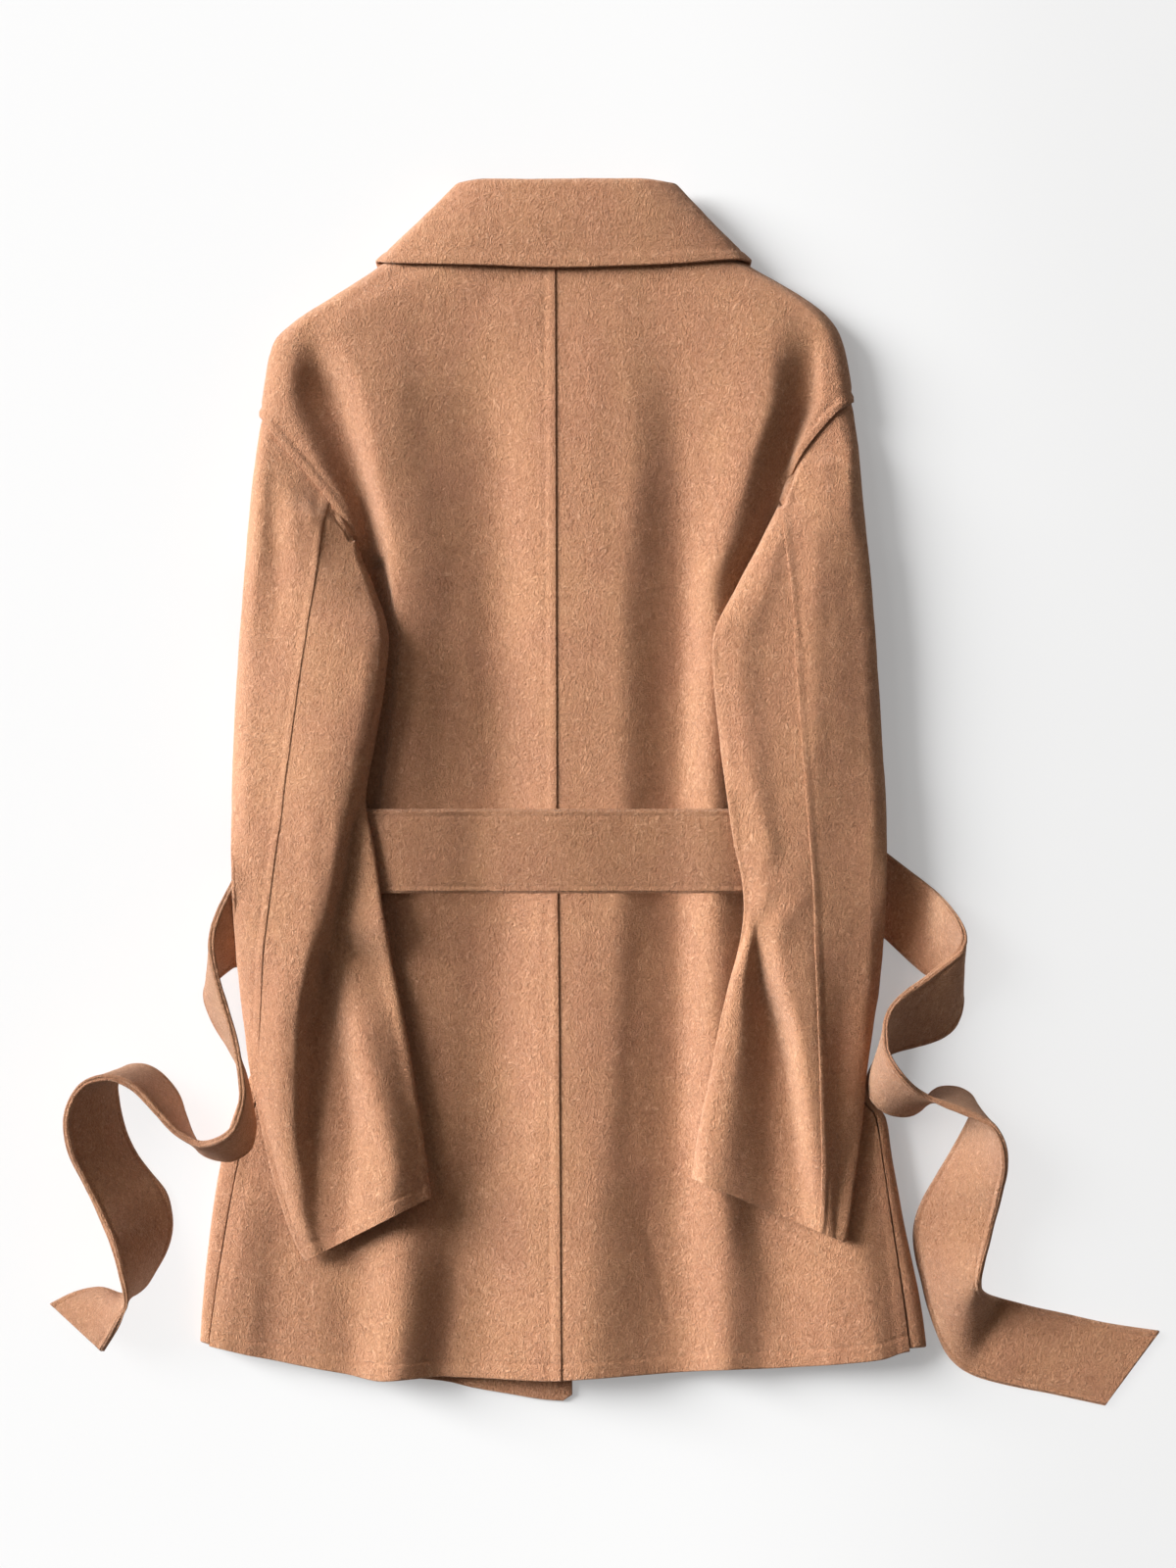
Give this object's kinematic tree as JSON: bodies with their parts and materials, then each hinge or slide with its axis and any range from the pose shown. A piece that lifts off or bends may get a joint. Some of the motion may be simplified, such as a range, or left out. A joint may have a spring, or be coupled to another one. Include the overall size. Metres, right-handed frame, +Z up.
{
  "type": "belted coat",
  "caption": "Short wool coat laid face down on a surface, with turned-down collar, sleeves folded over the back and its own loose belt across the waist.",
  "frame": {"origin": "middle of the coat's bounding box in plan, on the surface that it lies on", "axes": "+Z up from the surface, +Y from the hem towards the collar, +X to the right as seen from above, with the coat face down"},
  "size_m": [0.792, 0.8708, 0.077],
  "materials": {
    "camel_wool": "brushed double-faced wool, soft nap"
  },
  "bodies": {
    "root": {"back_left": "camel_wool", "back_right": "camel_wool", "belt": "camel_wool", "collar": "camel_wool", "front_left": "camel_wool", "front_right": "camel_wool", "sleeve_left_inner": "camel_wool", "sleeve_left_outer": "camel_wool", "sleeve_right_inner": "camel_wool", "sleeve_right_outer": "camel_wool"}
  },
  "joints": []
}
